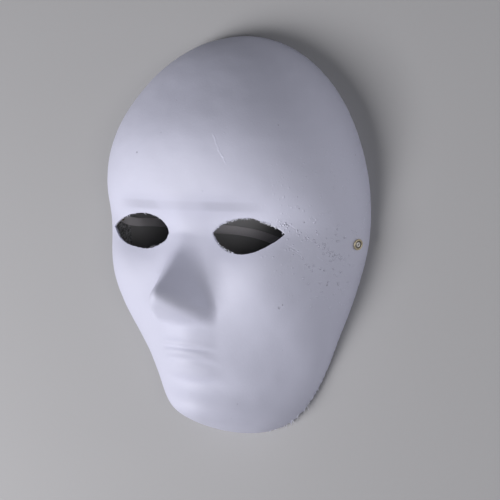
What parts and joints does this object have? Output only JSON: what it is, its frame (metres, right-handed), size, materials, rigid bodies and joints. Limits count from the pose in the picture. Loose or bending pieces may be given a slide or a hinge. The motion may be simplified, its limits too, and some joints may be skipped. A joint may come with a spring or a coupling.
{
  "type": "paper mask",
  "caption": "Blank full-face craft mask of white painted paper pulp with cut eye openings, lying face up, and a flat elastic strap riveted at its sides.",
  "frame": {"origin": "centre of the rim's plane: on the midline, half way between chin and crown, where the mask lies on its rim", "axes": "+X to the wearer's left, +Y from the chin to the crown, +Z the way the face looks, up when the mask lies on a table"},
  "size_m": [0.1876, 0.245, 0.0834],
  "materials": {
    "painted_pulp": "matte white paint over moulded paper pulp, with small pits, fibres and scratches; bare rough grey-white pulp inside",
    "elastic": "white woven flat elastic, matte, ribbed along its length",
    "rivet_metal": "dull nickel-toned brass, pressed, with a dark groove"
  },
  "bodies": {
    "root": {"mask_shell": "painted_pulp", "elastic_strap": "elastic", "rivet_left": "rivet_metal", "rivet_right": "rivet_metal"}
  },
  "joints": []
}
